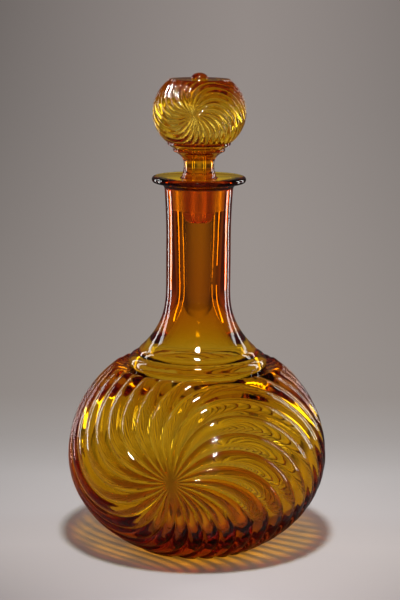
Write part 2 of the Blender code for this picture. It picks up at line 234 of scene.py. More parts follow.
class StopperSizes(bpy.types.PropertyGroup):
    """Sizes of the stopper."""

    fit_gap: length("Fit gap", "Gap between the plug and its socket", 0.0003)
    plug_length: length("Plug length", "From the plug's end to its bead", 0.0233)
    plug_end_radius: length("Plug end radius", "Radius of the ground cone at its end", 0.0088)
    plug_end_rounding: length("Plug end rounding", "Height of the rounding of the plug's end", 0.0065)
    plug_end_inset: length("Plug end inset", "How far the rounding of the plug's end runs inwards", 0.0040)
    plug_top_radius: length("Plug top radius", "Radius of the ground cone at its top", 0.0095)
    plug_seated: length("Plug seated", "How far the plug reaches under the lip", 0.0248)
    bead_radius: length("Bead radius", "Radius of the bead above the plug", 0.0104)
    bead_height: length("Bead height", "Height of the bead", 0.0010)
    waist_radius: length("Waist radius", "Radius of the stem at its waist", 0.0082)
    waist_height: length("Waist height", "From the bead to the waist", 0.0062)
    stem_flare_length: length("Stem flare", "From the waist to the lower ring", 0.0077)
    stem_flare_radius: length("Stem flare radius", "Radius of the stem under the lower ring", 0.0134)
    stem_flare_power: share("Stem flare power", "How steeply the stem flares", 3.0)
    stem_foot_power: share("Stem foot power", "How steeply the stem widens towards its bead", 2.0)
    ring_radius: length("Ring radius", "Radius of the lower ring", 0.0141)
    ring_height: length("Ring height", "Height of the lower ring", 0.0018)
    bowl_radius: length("Bowl radius", "Radius of the bowl under the ball", 0.0171)
    bowl_height: length("Bowl height", "Height of the bowl", 0.0035)
    bowl_lip: length("Bowl lip", "Height of the bowl's upright lip", 0.0015)
    ball_radius: length("Ball radius", "From the axis to the rib crests of the ball", 0.0254)
    ball_rise: length("Ball rise", "From the ball's middle to the top of its ellipse", 0.0233)
    ball_drop: length("Ball drop", "From the ball's middle to the bottom of its ellipse", 0.0220)
    ball_raised: length("Ball raised", "From the bowl to the ball's middle", 0.0157)
    ball_top_cut: length("Ball top cut", "From the ball's middle to its plate", 0.0180)
    ball_wall: length("Ball wall", "Glass under a rib crest of the ball", 0.0025)
    rib_depth: length("Rib depth", "From a crest to a valley", 0.0013)
    plate_radius: length("Plate radius", "Radius of the plate on the ball", 0.0165)
    plate_dome: length("Plate dome", "How far the plate stands proud", 0.0007)
    button_radius: length("Button radius", "Radius of the button", 0.0047)
    button_height: length("Button height", "Height of the button", 0.0034)
    vent_radius: length("Vent radius", "Radius of the vent through the plug", 0.0027)


class GlassLooks(bpy.types.PropertyGroup):
    """Colour and finish of the amber glass."""

    stain: colour("Stain", "Colour that the glass lets through", (0.957, 0.832, 0.012))
    density: share("Density", "How strongly the glass is coloured, per metre", 550)
    passing: strength("Passing", "Lamp light that a surface of the globe lets through", (1.10, 1.19, 1))
    passing_above: strength("Passing above", "The same for the neck and the stopper", (0.92, 0.97, 1))
    gather_height: length("Gather height", "Height up to which the globe's share holds", 0.085)
    ior: share("IOR", "How strongly the glass bends light", 1.5)
    clean: share("Clean roughness", "Roughness of the polished glass", 0.0)
    waves: share("Waves", "Strength of the fine waves on the glass", 0.12)
    ground: share("Ground roughness", "Roughness of the ground plug and socket", 0.32)
    ground_radius: length("Ground radius", "Radius within which plug and socket are ground", 0.0108)


class StageLooks(bpy.types.PropertyGroup):
    """Camera, floor and lights."""

    camera_turn: turn("Camera turn", "Where the camera stands round the decanter", 12.5)
    camera_distance: length("Camera distance", "From the axis to the camera along the floor", 0.990)
    camera_height: length("Camera height", "Height of the camera over the foot", 0.3212)
    camera_dip: turn("Camera dip", "How far the camera looks down", 10.53)
    camera_roll: turn("Camera roll", "How far the camera leans", 0.42)
    camera_shift: share("Camera shift", "Sideways shift of the picture", 0.0033)
    lens: share("Lens", "Focal length in millimetres over a sensor 36 mm high", 109.96)
    wall: colour("Wall", "Colour of the wall behind, over the backdrop", (0.27, 0.24, 0.22))
    room_light: share("Room light", "Even light from the room", 0.18)
    # Painted light: the backdrop and the wall glow brighter through the glass and weaker mirrored in it, and
    # the lit floor's paint is scaled the same way, painted brighter under the globe in place of the light
    # that the glass gathers there
    glass_gain: share("Glass gain", "Strength of the backdrop seen through the glass against its own", 1.6)
    mirror_gain: share("Mirror gain", "Strength of the backdrop mirrored in the glass against its own", 0.2)
    floor_gain: share("Floor gain", "Strength of the lit floor seen through the glass against its own", 0.80)
    under_gain: share("Under gain", "The same under the globe, where the glass gathers light", 0.85)
    under_radius: length("Under radius", "Radius of the floor that is wholly under the globe", 0.035)
    under_end: length("Under end", "Radius from which the floor has its own gain", 0.075)
    floor_white: share("Floor white", "Paint of the lit floor against the colour that it shows", 1.25)
    pool_radius: length("Pool radius", "Radius round the decanter in which the lamps light the floor", 0.13)
    lamp_power: share("Lamp power", "Power of the small lamp overhead, in watts", 3.8)
    lamp_front: length("Lamp front", "How far the lamp hangs in front of the axis", 0.258)
    lamp_height: length("Lamp height", "Height of the lamp", 0.70)
    lamp_size: length("Lamp size", "Width of the lamp", 0.08)
    lamp_aim: length("Lamp aim", "Height on the axis that the lamp points at", 0.05)
    strip_power: share("Strip power", "Power of each strip light, in watts", 1.15)
    strip_turn: turn("Strip turn", "Where the strips stand, from the camera", 113)
    strip_distance: length("Strip distance", "From the axis to a strip", 0.70)
    strip_width: length("Strip width", "Width of a strip", 0.10)
    strip_height: length("Strip height", "Height of a strip and of a panel", 0.60)
    panel_turn: turn("Panel turn", "Where the panels behind the decanter stand, from the camera", 134)
    panel_width: length("Panel width", "Width of a panel, seen in the glass alone", 0.075)
    panel_power: share("Panel power", "Power of a panel, in watts", 0.65)


def arc(radius_from_axis, height, width, rise, start, end, steps):
    """Points of an elliptic arc about (radius_from_axis, height), with angles measured from straight out."""
    angles = [start + (end - start) * step / steps for step in range(steps + 1)]
    return [(radius_from_axis + width * math.cos(angle), height + rise * math.sin(angle)) for angle in angles]


def flare(start, end, power, steps):
    """Points of a curve that leaves its start steeply and settles towards its end."""
    points = []
    for step in range(steps + 1):
        part = step / steps
        radius = end[0] + (start[0] - end[0]) * (1 - part) ** power
        points.append((radius, start[1] + (end[1] - start[1]) * part))
    return points


def dome(width, middle, rise, fullness, neck, steps):
    """Points down the side of a full dome, from its neck's radius to its widest level, without the first."""
    power = 2 / fullness
    turn_in = math.acos((neck / width) ** (1 / power))
    angles = [turn_in * (1 - step / steps) for step in range(1, steps + 1)]
    return [(width * math.cos(angle) ** power, middle + rise * math.sin(angle) ** power) for angle in angles]


def softened(start, corner, end, steps):
    """Points of a curve that rounds a corner between two points, without the first."""
    points = []
    for step in range(1, steps + 1):
        part = step / steps
        near, turning, far = (1 - part) ** 2, 2 * part * (1 - part), part**2
        points.append(tuple(near * a + turning * b + far * c for a, b, c in zip(start, corner, end)))
    return points


def line(start, end, steps):
    """Points between two points of an outline, without the first."""
    return [tuple(a + (b - a) * step / steps for a, b in zip(start, end)) for step in range(1, steps + 1)]


def height_on_ellipse(radius, half_width, half_height):
    """Height over the middle of an ellipse at this distance from its axis."""
    return half_height * math.sqrt(1 - (radius / half_width) ** 2)


class Levels:
    """Heights that follow from the sizes of the bottle and its stopper."""

    def __init__(self, bottle, stopper):
        ellipse = height_on_ellipse(bottle.collar_radius, bottle.globe_radius, bottle.globe_rise)
        self.collar_foot = bottle.globe_middle + ellipse - bottle.collar_sink
        self.tier_foot = self.collar_foot + bottle.collar_side + bottle.collar_rounding - bottle.collar_groove
        self.flare_foot = self.tier_foot + bottle.tier_rounding * math.sin(bottle.tier_turn)
        self.flare_radius = bottle.tier_radius - bottle.tier_rounding * (1 - math.cos(bottle.tier_turn))
        self.neck_foot = self.flare_foot + bottle.neck_flare_length
        self.neck_top = self.neck_foot + bottle.neck_length
        self.lip_top = self.neck_top + bottle.lip_underside + bottle.lip_thickness
        self.dish_bottom = self.lip_top - bottle.dish_depth
        self.plug_bottom = self.lip_top - stopper.plug_seated
        self.plug_top = self.plug_bottom + stopper.plug_length
        self.cone_foot = self.plug_bottom + stopper.plug_end_rounding
        self.waist = self.plug_top + stopper.bead_height + stopper.waist_height
        self.ring_foot = self.waist + stopper.stem_flare_length
        self.bowl_foot = self.ring_foot + stopper.ring_height
        self.bowl_top = self.bowl_foot + stopper.bowl_height
        self.ball_middle = self.bowl_top + stopper.ball_raised
        self.ball_top = self.ball_middle + stopper.ball_top_cut

    def plug_radius(self, stopper, height):
        """Radius of the ground cone at this height."""
        part = (height - self.cone_foot) / (self.plug_top - self.cone_foot)
        return stopper.plug_end_radius + (stopper.plug_top_radius - stopper.plug_end_radius) * part


def swirled(swirl, away, around):
    """Direction of a point of the ribs after their swirl, from its angle from the front eye and round it."""
    front = away <= QUARTER
    start = QUARTER - HALF_RIBS_ASIDE * math.pi / swirl.ribs
    turned_by = start + around + swirl.swirl * math.cos(away)
    if not front:
        away = math.pi - away
        turned_by = math.pi - turned_by
    near_eye = math.exp(-((away / swirl.eye_spread) ** 2))
    right = away * math.cos(turned_by) + swirl.eye_aside * near_eye
    up = away * math.sin(turned_by) + swirl.eye_raised * near_eye
    bent = math.hypot(right, up)
    width = math.sin(bent) / bent if bent else 1
    side = 1 if front else -1
    return Vector((side * right * width, -side * math.cos(bent), up * width))


def crowded(around, ribs, crowding):
    """Moves a column of the grid towards the nearest valley, and gives its nearness, 1 in the valley."""
    place = around * ribs / (2 * math.pi)
    rib = math.floor(place + 1e-6)
    over = place - rib
    half = max(1 - abs(1 - 2 * over), 0)
    moved = half**crowding
    over = moved / 2 if over <= 1 / 2 else 1 - moved / 2
    return (rib + over) * 2 * math.pi / ribs, 1 - moved


def valley_depth(nearness, flatness):
    """Depth of a rib's section as a share, with broad crests and valleys rounded by a small fillet."""
    edge = 1 - FILLET_SHARE
    if nearness < edge:
        return nearness**flatness
    past = nearness - edge
    slope = flatness * edge ** (flatness - 1)
    return edge**flatness + slope * past - slope / (2 * FILLET_SHARE) * past**2


def soft_least(first, second, blend):
    """The smaller of two lengths, rounded where they meet."""
    near = max(blend - abs(first - second), 0) / blend
    return min(first, second) - near**2 * blend / 4


def ribbed(swirl, egg, depth, rings, crowding, flatness, turned_by=0, trim=None):
    """A bmesh of a closed egg with the swirl ribs. trim shortens a reach along a direction.

    egg holds its radius, its rise and its drop from the widest level, and the height of that level.
    """
    radius, rise, drop, middle = egg
    work = bmesh.new()
    bmesh.ops.create_uvsphere(work, u_segments=swirl.ribs * RIB_COLUMNS, v_segments=rings, radius=1)
    valley = work.verts.layers.float.new(VALLEY)
    turner = Matrix.Rotation(turned_by, 3, "Z")
    for corner in work.verts:
        away = math.acos(max(-1, min(1, corner.co.z)))
        around, nearness = crowded(math.atan2(corner.co.y, corner.co.x), swirl.ribs, crowding)
        direction = swirled(swirl, away, around)
        fade = 1 - math.exp(-((math.sin(away) / EYE_FADE_SHARE) ** 2))
        half_height = rise if direction.z > 0 else drop
        across = (direction.x**2 + direction.y**2) / radius**2
        reach = 1 / math.sqrt(across + (direction.z / half_height) ** 2)
        reach -= depth * fade * valley_depth(nearness, flatness)
        corner[valley] = nearness * fade
        if trim:
            reach = trim(direction, reach)
        corner.co = turner @ direction * reach + Vector((0, 0, middle))
    return work


def rim_at(work, height):
    """Edges of the open rim at this height."""
    near = 1e-5
    return [
        edge
        for edge in work.edges
        if edge.is_boundary and all(abs(corner.co.z - height) < near for corner in edge.verts)
    ]


def corners_of(edges):
    """Corners of some edges, each of them once."""
    return list({corner for edge in edges for corner in edge.verts})


def cut_away(work, height, low, high, within, near):
    """Cuts the mesh at a height and deletes its faces between two heights and within a radius.

    Gives the new rim, whose corners are merged where they lie nearer together than near.
    """
    bmesh.ops.bisect_plane(
        work,
        geom=work.verts[:] + work.edges[:] + work.faces[:],
        plane_co=(0, 0, height),
        plane_no=(0, 0, 1),
        dist=1e-7,
    )
    gone = []
    for face in work.faces:
        middle = face.calc_center_median()
        if low < middle.z < high and math.hypot(middle.x, middle.y) < within:
            gone.append(face)
    bmesh.ops.delete(work, geom=gone, context="FACES")
    rim = rim_at(work, height)
    for corner in corners_of(rim):
        corner.co.z = height
    bmesh.ops.remove_doubles(work, verts=corners_of(rim), dist=near)
    return rim_at(work, height)


def even_directions(rim):
    """For each corner of a closed rim, a direction in step with its way round it, so that no face folds."""
    first = rim[0].verts[0]
    order = [first]
    seen = {first}
    own = set(rim)
    way = [0]
    while True:
        step = [edge.other_vert(order[-1]) for edge in order[-1].link_edges if edge in own]
        fresh = [corner for corner in step if corner not in seen]
        if not fresh:
            break
        way.append(way[-1] + (fresh[0].co - order[-1].co).length)
        order.append(fresh[0])
        seen.add(fresh[0])
    whole = way[-1] + (order[-1].co - first.co).length
    angles = [math.atan2(corner.co.y, corner.co.x) for corner in order]
    onward = sum(math.sin(after - before) for before, after in zip(angles, angles[1:] + angles[:1])) > 0
    turns = [2 * math.pi * part / whole * (1 if onward else -1) for part in way]
    across = sum(math.cos(angle - turned) for angle, turned in zip(angles, turns))
    along = sum(math.sin(angle - turned) for angle, turned in zip(angles, turns))
    start = math.atan2(along, across)
    directions = [Vector((math.cos(start + turned), math.sin(start + turned))) for turned in turns]
    return dict(zip(order, directions))


def grown(work, rim, places, even=True):
    """Extrudes the rim once for each place, a function from a corner's radius to its new radius and height.

    With even, its corners keep their share of the way round, and otherwise their own directions.
    """
    directions = even_directions(rim) if even else {}
    valley = work.verts.layers.float[VALLEY]
    for place in places:
        before = {}
        made = bmesh.ops.extrude_edge_only(work, edges=rim)["geom"]
        fresh = {part for part in made if isinstance(part, bmesh.types.BMVert)}
        rim = [
            part
            for part in made
            if isinstance(part, bmesh.types.BMEdge) and part.verts[0] in fresh and part.verts[1] in fresh
        ]
        for corner in fresh:
            corner[valley] = 0
            flat = Vector((corner.co.x, corner.co.y))
            radius, height = place(flat.length)
            if even:
                beside = [edge.other_vert(corner) for edge in corner.link_edges]
                below = next(other for other in beside if other in directions)
                before[corner] = directions[below]
                flat = before[corner] * radius
            else:
                flat = flat.normalized() * radius
            corner.co = (flat.x, flat.y, height)
        directions = before
    return rim


def through(outline):
    """The places of plain rings, each a radius and a height."""
    return [lambda _, ring=ring: ring for ring in outline]


def rippled(work, ripple, spacing):
    """Slow waves that hand work leaves in glass: every point is pushed a little into the glass."""
    bmesh.ops.remove_doubles(work, verts=work.verts[:], dist=1e-6)
    bmesh.ops.recalc_face_normals(work, faces=work.faces[:])
    work.normal_update()
    for corner in work.verts:
        wave = noise.noise(corner.co / spacing) + noise.noise(corner.co * 2.3 / spacing) / 3
        corner.co -= corner.normal * ripple * (0.5 + 0.5 * max(-1, min(1, wave)))
        corner.co.z = max(corner.co.z, 0)


def closed_piece(name, work, material):
    """Merges doubled corners, turns all faces outwards and makes the object."""
    bmesh.ops.remove_doubles(work, verts=work.verts[:], dist=1e-6)
    bmesh.ops.recalc_face_normals(work, faces=work.faces[:])
    mesh = bpy.data.meshes.new(name)
    work.to_mesh(mesh)
    work.free()
    mesh.materials.append(material)
    mesh.shade_smooth()
    mesh.set_sharp_from_angle(angle=math.radians(50))
    piece = bpy.data.objects.new(name, mesh)
    bpy.context.scene.collection.objects.link(piece)
    return piece


def neck_rings(bottle, levels):
    """Outside of the collar, the neck and the lip, from the collar's foot to the mouth."""
    rounding = bottle.collar_rounding
    shoulder = levels.collar_foot + bottle.collar_side
    rings = line((bottle.collar_radius, levels.collar_foot), (bottle.collar_radius, shoulder), 3)
    rings += arc(bottle.collar_radius - rounding, shoulder, rounding, rounding, 0, COLLAR_EDGE_TURN, 9)[1:]
    rings += [(bottle.tier_radius, levels.tier_foot)]
    rounding = bottle.tier_rounding
    centre = bottle.tier_radius - rounding
    rings += arc(centre, levels.tier_foot, rounding, rounding, 0, bottle.tier_turn, 9)[1:]
    neck_foot = (bottle.neck_radius, levels.neck_foot)
    rings += flare((levels.flare_radius, levels.flare_foot), neck_foot, bottle.neck_flare_power, 16)[1:]
    middle = (levels.neck_foot + levels.neck_top) / 2
    rings += line(neck_foot, (bottle.neck_radius, middle), 4)
    swell = bottle.neck_top_radius - bottle.neck_radius
    for step in range(1, 6):
        part = step / 6
        rings.append((bottle.neck_radius + swell * part**2, middle + (levels.neck_top - middle) * part))
    half_lip = bottle.lip_thickness / 2
    lip_edge = bottle.lip_radius - half_lip
    overhang = lip_edge - bottle.neck_top_radius
    rings += arc(lip_edge, levels.neck_top, overhang, bottle.lip_underside, math.pi, QUARTER, 9)
    rings += arc(lip_edge, levels.lip_top - half_lip, half_lip, half_lip, -QUARTER, QUARTER, 12)[1:]
    return rings


def mouth_rings(bottle, stopper, levels):
    """Inside of the neck, from the lip down through the dish, the socket and the bore to where it widens."""
    lip_edge = bottle.lip_radius - bottle.lip_thickness / 2
    rounding = bottle.mouth_rounding
    mouth_foot = levels.dish_bottom - rounding
    socket_top = levels.plug_radius(stopper, mouth_foot) + stopper.fit_gap
    mouth = socket_top + rounding
    rings = []
    for step in range(1, 9):
        part = step / 8
        dip = bottle.dish_depth * (1 - math.cos(QUARTER * part))
        rings.append((lip_edge + (mouth - lip_edge) * part, levels.lip_top - dip))
    rings += arc(mouth, mouth_foot, rounding, rounding, QUARTER, math.pi, 6)[1:]
    socket_foot = levels.cone_foot + (levels.plug_top - levels.cone_foot) * bottle.socket_foot
    socket_end = levels.plug_radius(stopper, socket_foot) + stopper.fit_gap
    rings += line((socket_top, mouth_foot), (socket_end, socket_foot), 5)
    flare_foot = levels.tier_foot + bottle.bore_flare_raised
    bore_foot = (bottle.bore_radius, flare_foot + bottle.bore_flare_length)
    rings += line(rings[-1], bore_foot, 6)
    widest = (bottle.tier_radius - bottle.tier_wall, flare_foot)
    return rings + flare(widest, bore_foot, bottle.bore_flare_power, 18)[-2::-1]


def cavity_rings(bottle, levels):
    """Inside of the globe, from the rounding inside the tier down to the middle of the floor."""
    shoulder = levels.collar_foot + bottle.shoulder_raised
    neck_radius = bottle.collar_radius - bottle.collar_wall
    middle = bottle.tier_radius - bottle.shoulder_inset
    rings = arc(middle, shoulder, neck_radius - middle, bottle.shoulder_rise, bottle.shoulder_turn, 0, 8)
    width = bottle.globe_radius - bottle.wall
    shape = (width, bottle.globe_middle, bottle.cavity_rise, bottle.cavity_fullness)
    # The corner lies where the dome would meet the straight part inside the collar
    corner = (neck_radius, dome(*shape, neck_radius, 400)[0][1])
    side = dome(*shape, neck_radius + CORNER_REACH, 15)
    rings += softened((neck_radius, shoulder), corner, side[0], 8)
    rings += side[1:]
    drop = bottle.globe_middle - bottle.floor
    power = 2 / bottle.bowl_fullness
    for step in range(1, 37):
        angle = QUARTER * step / 36
        height = bottle.globe_middle - drop * math.sin(angle) ** power
        rings.append((width * math.cos(angle) ** power, height))
    rings[-1] = (0, bottle.floor)
    return rings


def foot_places(bottle):
    """The small rounding at the edge of the foot, which follows the ribs."""
    edge = bottle.foot_edge
    return [
        lambda radius: (radius - edge * 0.25, edge * 0.45),
        lambda radius: (radius - edge * 0.40, edge * 0.12),
        lambda radius: (radius - edge * 0.60, 0),
    ]


def push_up_rings(bottle):
    """The push-up inside the flat ring that the bottle stands on."""
    rings = arc(0, 0, bottle.push_up_radius, bottle.push_up_depth, 0, QUARTER, 10)
    rings[-1] = (0, bottle.push_up_depth)
    return rings


def ledge_trim(bottle, levels):
    """Shortens the globe's reach where its ribs end on the sloping ledge, and inside it on the gutter."""
    gutter = bottle.collar_radius + bottle.ledge_flat
    foot = levels.collar_foot - bottle.globe_middle
    slopes = ((math.tan(bottle.ledge_slope), True), (GUTTER_SLOPE, False))
    blend = bottle.rib_depth * 0.5

    def trim(direction, reach):
        across = math.hypot(direction.x, direction.y)
        for slope, outside in slopes:
            climb = direction.z - slope * across
            if climb <= 0:
                continue
            met = (foot - slope * gutter) / climb
            if (met * across >= gutter) == outside:
                reach = soft_least(reach, met, blend)
        return reach

    return trim


def make_bottle(swirl, bottle, stopper, material):
    """The bottle as one closed skin: ribs, collar, neck and lip outside, dish, bore and cavity inside."""
    levels = Levels(bottle, stopper)
    egg = (bottle.globe_radius, bottle.globe_rise, bottle.globe_drop, bottle.globe_middle)
    work = ribbed(swirl, egg, bottle.rib_depth, **GLOBE_RIBS, trim=ledge_trim(bottle, levels))
    gutter = levels.collar_foot - GUTTER_SLOPE * bottle.ledge_flat
    ledge = bottle.collar_radius + bottle.ledge_flat
    rim = cut_away(work, gutter, bottle.globe_middle, gutter, ledge, GLOBE_MERGE)
    for corner, direction in even_directions(rim).items():
        corner.co = (direction.x * bottle.collar_radius, direction.y * bottle.collar_radius, gutter)
    rings = neck_rings(bottle, levels) + mouth_rings(bottle, stopper, levels) + cavity_rings(bottle, levels)
    grown(work, rim, through(rings))
    rim = cut_away(work, bottle.foot_edge, -1, bottle.foot_edge, bottle.globe_radius, GLOBE_MERGE)
    rim = grown(work, rim, foot_places(bottle), even=False)
    radius = bottle.push_up_radius + PUSH_UP_RIM
    circle = bmesh.ops.create_circle(work, segments=swirl.ribs * 8, radius=radius)["verts"]
    inner = list({edge for corner in circle for edge in corner.link_edges})
    bmesh.ops.triangle_fill(work, use_beauty=True, edges=rim + inner)
    grown(work, inner, through(push_up_rings(bottle)))
    rippled(work, bottle.ripple, RIPPLE_SPACING)
    return closed_piece("bottle_glass", work, material)


def stopper_rings(stopper, levels):
    """Outside of the bowl, the ring, the stem and the plug, from the ball down."""
    rings = [(stopper.bowl_radius - BOWL_EDGE, levels.bowl_top)]
    rings += [(stopper.bowl_radius, levels.bowl_top - BOWL_EDGE)]
    rings += line(rings[-1], (stopper.bowl_radius, levels.bowl_top - stopper.bowl_lip), 2)
    rings += line(rings[-1], (stopper.stem_flare_radius * 1.02, levels.bowl_foot), 5)
    half_ring = stopper.ring_height / 2
    proud = stopper.ring_radius - stopper.stem_flare_radius
    ring_middle = levels.ring_foot + half_ring
    rings += arc(stopper.stem_flare_radius, ring_middle, proud, half_ring, QUARTER, -QUARTER, 8)
    waist = (stopper.waist_radius, levels.waist)
    rings += flare((stopper.stem_flare_radius, levels.ring_foot), waist, stopper.stem_flare_power, 12)[1:]
    bead_top = (stopper.plug_top_radius, levels.plug_top + stopper.bead_height)
    rings += flare(bead_top, waist, stopper.stem_foot_power, 8)[-2::-1]
    swell = stopper.bead_radius - stopper.plug_top_radius
    half_bead = stopper.bead_height / 2
    rings += arc(stopper.plug_top_radius, levels.plug_top + half_bead, swell, half_bead, 1.2, -QUARTER, 7)
    rings += line((stopper.plug_top_radius, levels.plug_top), (stopper.plug_end_radius, levels.cone_foot), 6)
    inset = stopper.plug_end_inset
    end = stopper.plug_end_radius - inset
    rings += arc(end, levels.cone_foot, inset, stopper.plug_end_rounding, 0, -QUARTER, 9)[1:]
    return rings


def hollow_rings(stopper, levels):
    """The vent up through the plug, and the hollow of the ball."""
    width = stopper.ball_radius - stopper.ball_wall
    drop = stopper.ball_drop - stopper.ball_wall
    rise = stopper.ball_top_cut - stopper.ball_wall
    vent = stopper.vent_radius
    low = math.acos(vent / width)
    rings = [(vent * 1.2, levels.plug_bottom), (vent, levels.plug_bottom + vent * 0.2)]
    rings += line(rings[-1], (vent, levels.ball_middle - drop * math.sin(low)), 4)
    rings += arc(0, levels.ball_middle, width, drop, -low, 0, 16)[1:]
    rings += arc(0, levels.ball_middle, width, rise, 0, QUARTER, 16)[1:]
    rings[-1] = (0, levels.ball_middle + rise)
    return rings


def plate_rings(stopper, levels):
    """The plate on the ball and its button, from the ribs' upper edge to the middle."""
    rise = stopper.plate_dome
    rim = stopper.plate_radius
    top = levels.ball_top
    rings = [(rim, top - rise), (rim, top - rise * 0.5), (rim - rise * 0.4, top)]
    rings += line(rings[-1], (stopper.button_radius * 1.25, top), 4)
    rings += arc(0, top, stopper.button_radius, stopper.button_height, 0.12, QUARTER, 9)
    rings[-1] = (0, top + stopper.button_height)
    return rings


def make_stopper(swirl, bottle, stopper, material):
    """The stopper as one closed skin, hollow in its ball."""
    levels = Levels(bottle, stopper)
    egg = (stopper.ball_radius, stopper.ball_rise, stopper.ball_drop, levels.ball_middle)
    work = ribbed(swirl, egg, stopper.rib_depth, **BALL_RIBS, turned_by=swirl.ball_turn)
    low = levels.bowl_top + BALL_FOOT
    rim = cut_away(work, low, 0, low, stopper.ball_radius, BALL_MERGE)
    grown(work, rim, through(stopper_rings(stopper, levels) + hollow_rings(stopper, levels)))
    high = levels.ball_top - stopper.plate_dome * 1.6
    rim = cut_away(work, high, high, 1, stopper.ball_radius, BALL_MERGE)
    grown(work, rim, through(plate_rings(stopper, levels)))
    return closed_piece("stopper_glass", work, material)


class ShaderTree:
    """The nodes of a material, a group or the world, with short ways to add and to link them."""

    def __init__(self, tree):
        self.nodes = tree.nodes
        self.links = tree.links

    def give(self, sockets, given):
        """Links each named or numbered socket to an output, or sets it to a plain value."""
        for name, value in given.items():
            if isinstance(value, bpy.types.NodeSocket):
                self.links.new(value, sockets[name])
            else:
                sockets[name].default_value = value

    def add(self, kind, given=None, **settings):
        """A new node with these settings, and with its inputs given."""
        node = self.nodes.new(kind)
        for name, value in settings.items():
            setattr(node, name, value)
        self.give(node.inputs, given or {})
        return node

    def maths(self, operation, first, second=0):
        """Result of a sum with one or two sockets or numbers."""
        return self.add("ShaderNodeMath", {0: first, 1: second}, operation=operation).outputs["Value"]

    def ranged(self, value, low, high, to_low, to_high, interpolation="SMOOTHSTEP"):
        """A value taken from one range to another and held at its ends."""
        given = {"Value": value, "From Min": low, "From Max": high, "To Min": to_low, "To Max": to_high}
        return self.add("ShaderNodeMapRange", given, interpolation_type=interpolation).outputs["Result"]

    def noise(self, place, scale, detail):
        """A noise from 0 to 1 over a place."""
        given = {"Vector": place, "Scale": scale, "Detail": detail}
        return self.add("ShaderNodeTexNoise", given).outputs["Fac"]

    def place(self, kind="Object"):
        """The place or direction that a pattern reads."""
        return self.add("ShaderNodeTexCoord").outputs[kind]

    def split(self, vector):
        """The outputs X, Y and Z of a vector."""
        return self.add("ShaderNodeSeparateXYZ", {"Vector": vector}).outputs

    def turned(self, vector, angle):
        """The outputs X, Y and Z of a vector that is turned about the upright axis."""
        given = {"Vector": vector, "Angle": angle}
        return self.split(self.add("ShaderNodeVectorRotate", given, rotation_type="Z_AXIS").outputs["Vector"])

    def scaled(self, tone, by):
        """A colour times a strength."""
        return self.add("ShaderNodeVectorMath", {0: tone, "Scale": by}, operation="SCALE").outputs["Vector"]

    def chosen(self, second_share, first, second):
        """The first of two colours, or the second where its share is 1."""
        given = {"A": first, "B": second, "Factor": second_share}
        return self.add("ShaderNodeMix", given, data_type="VECTOR").outputs["Result"]

    def ramp(self, value, stops):
        """The outputs of a colour ramp with these stops, each a position and a colour."""
        node = self.add("ShaderNodeValToRGB", {"Fac": value})
        while len(node.color_ramp.elements) < len(stops):
            node.color_ramp.elements.new(0.5)
        for element, (position, tone) in zip(node.color_ramp.elements, stops):
            element.position = position
            element.color = tone
        return node.outputs

    def surface(self, share_of_second, first, second):
        """Mixes two shaders on the surface of the material."""
        mix = self.add("ShaderNodeMixShader", {"Fac": share_of_second, 1: first, 2: second})
        self.give(self.nodes["Material Output"].inputs, {"Surface": mix.outputs["Shader"]})


def worn_glass_group():
    """Group that gives how matt glass is and which way it faces, from its handling and hand-made waves."""
    group = bpy.data.node_groups.new("worn_glass", "ShaderNodeTree")
    for name in ("Waves", "Clean", "Ground", "Ground from", "Ground to", "Ground radius"):
        group.interface.new_socket(name, in_out="INPUT", socket_type="NodeSocketFloat")
    group.interface.new_socket("Roughness", in_out="OUTPUT", socket_type="NodeSocketFloat")
    group.interface.new_socket("Normal", in_out="OUTPUT", socket_type="NodeSocketVector")
    tree = ShaderTree(group)
    given = tree.add("NodeGroupInput").outputs
    place = tree.place()
    fine = tree.maths("MULTIPLY", tree.noise(place, FINE_WAVES, 2), FINE_WAVES_SHARE)
    waves = tree.maths("ADD", tree.noise(place, SLOW_WAVES, 1), fine)
    seeds = tree.add("ShaderNodeTexVoronoi", {"Vector": place, "Scale": SEEDS, "Randomness": 1})
    near_seed = tree.maths("LESS_THAN", seeds.outputs["Distance"], SEED_SIZE)
    height = tree.maths("SUBTRACT", waves, tree.maths("MULTIPLY", near_seed, SEED_DEPTH))
    relief = {"Distance": WAVE_HEIGHT, "Strength": given["Waves"], "Height": height}
    bump = tree.add("ShaderNodeBump", relief)
    smears = tree.ranged(tree.noise(place, SMEARS, 4), *SMEAR_RANGE, 0, SMEAR_ROUGHNESS, "LINEAR")
    handled = tree.maths("ADD", given["Clean"], smears)
    point = tree.split(place)
    squares = tree.maths("ADD", tree.maths("POWER", point["X"], 2), tree.maths("POWER", point["Y"], 2))
    within = tree.maths("LESS_THAN", tree.maths("SQRT", squares), given["Ground radius"])
    above = tree.maths("GREATER_THAN", point["Z"], given["Ground from"])
    below = tree.maths("LESS_THAN", point["Z"], given["Ground to"])
    band = tree.maths("MULTIPLY", tree.maths("MULTIPLY", above, below), within)
    roughness = tree.maths("MAXIMUM", handled, tree.maths("MULTIPLY", band, given["Ground"]))
    tree.add("NodeGroupOutput", {"Roughness": roughness, "Normal": bump.outputs["Normal"]})
    return group


